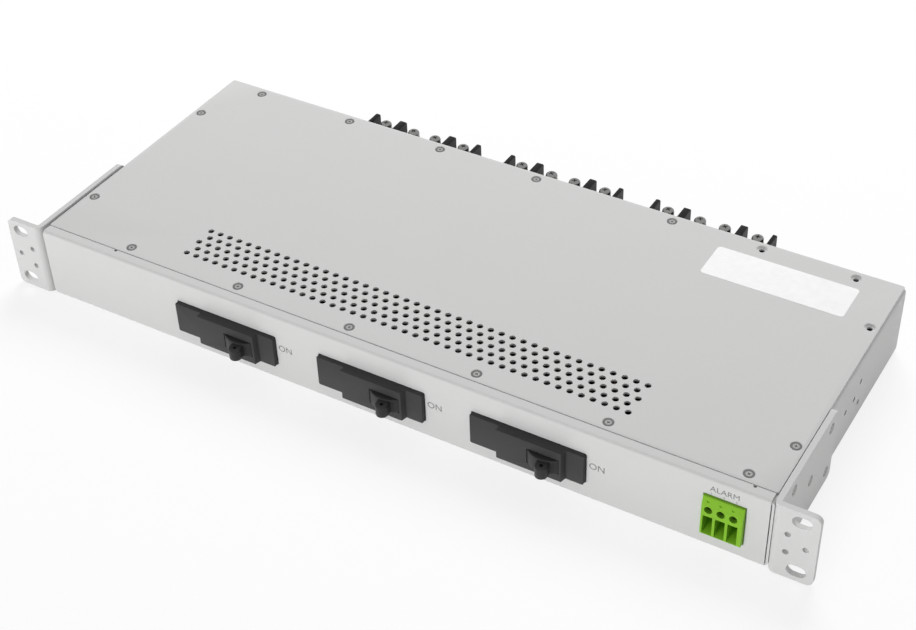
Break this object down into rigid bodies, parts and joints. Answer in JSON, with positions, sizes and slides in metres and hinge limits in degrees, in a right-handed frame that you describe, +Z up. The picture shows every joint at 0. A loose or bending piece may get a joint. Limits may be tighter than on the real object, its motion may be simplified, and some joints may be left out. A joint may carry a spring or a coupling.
{
  "type": "rack breaker panel",
  "caption": "Low rack-mount power distribution panel with recessed rocker breakers, a green alarm plug, perforated cover, slotted ears and rear barrier terminals.",
  "frame": {"origin": "centre of the four rack slots, on the front face of the two ears", "axes": "+X to the right seen from the front, along the width; +Y from the front panel to the rear terminals; +Z up; -Y is the way the rack slots face"},
  "size_m": [0.4826, 0.2097, 0.0448],
  "materials": {
    "base_chassis": "fine-textured light grey powder coat",
    "block_black": "satin moulded",
    "board_green": "solder-mask gloss",
    "case_black": "satin moulded",
    "copper_bar": "bare copper",
    "cover_screw_steel": "zinc plated",
    "header_green": "satin moulded",
    "left_ear": "fine-textured light grey powder coat",
    "plated_sheet": "zinc plated",
    "plated_steel": "zinc plated",
    "plug_green": "satin moulded",
    "right_ear": "fine-textured light grey powder coat",
    "terminal_steel": "nickel plated, bright",
    "toggle_black": "satin moulded",
    "top_cover": "fine-textured light grey powder coat"
  },
  "bodies": {
    "panel": {"alarm_board": "board_green", "alarm_header": "header_green", "base_chassis": "base_chassis", "block_screws": "plated_steel", "board_posts": "plated_steel", "board_screws": "plated_steel", "bracket_screws": "plated_steel", "breaker_1": "case_black", "breaker_2": "case_black", "breaker_3": "case_black", "breaker_bracket_1": "plated_sheet", "breaker_bracket_2": "plated_sheet", "breaker_bracket_3": "plated_sheet", "breaker_studs": "plated_steel", "cover_screws": "cover_screw_steel", "header_pins": "terminal_steel", "left_ear": "left_ear", "left_ear_screws": "plated_steel", "line_bar_1": "copper_bar", "line_bar_2": "copper_bar", "line_bar_3": "copper_bar", "load_bar_1": "copper_bar", "load_bar_2": "copper_bar", "load_bar_3": "copper_bar", "return_link_1": "copper_bar", "return_link_2": "copper_bar", "return_link_3": "copper_bar", "right_ear": "right_ear", "right_ear_screws": "plated_steel", "stud_nuts": "plated_steel", "terminal_block_left_1": "block_black", "terminal_block_left_2": "block_black", "terminal_block_left_3": "block_black", "terminal_block_right_1": "block_black", "terminal_block_right_2": "block_black", "terminal_block_right_3": "block_black", "terminal_screws": "terminal_steel", "terminal_washers": "terminal_steel", "toggle_pin_1": "plated_steel", "toggle_pin_2": "plated_steel", "toggle_pin_3": "plated_steel", "top_cover": "top_cover"},
    "toggle_1": {"toggle_1": "toggle_black"},
    "toggle_2": {"toggle_2": "toggle_black"},
    "toggle_3": {"toggle_3": "toggle_black"},
    "plug": {"alarm_plug": "plug_green", "plug_screws": "plated_steel"}
  },
  "joints": [
    {"name": "toggle_1_turn", "type": "hinge", "parent": "panel", "child": "toggle_1", "pos_m": [-0.0819, 0.0046, -0.00275], "axis": [0, 0, -1], "range_deg": [0, 32]},
    {"name": "toggle_2_turn", "type": "hinge", "parent": "panel", "child": "toggle_2", "pos_m": [0.0097, 0.0046, -0.00275], "axis": [0, 0, -1], "range_deg": [0, 32]},
    {"name": "toggle_3_turn", "type": "hinge", "parent": "panel", "child": "toggle_3", "pos_m": [0.1013, 0.0046, -0.00275], "axis": [0, 0, -1], "range_deg": [0, 32]},
    {"name": "plug_pull", "type": "slide", "parent": "panel", "child": "plug", "axis": [0, -1, 0], "range_m": [0, 0.016]}
  ]
}
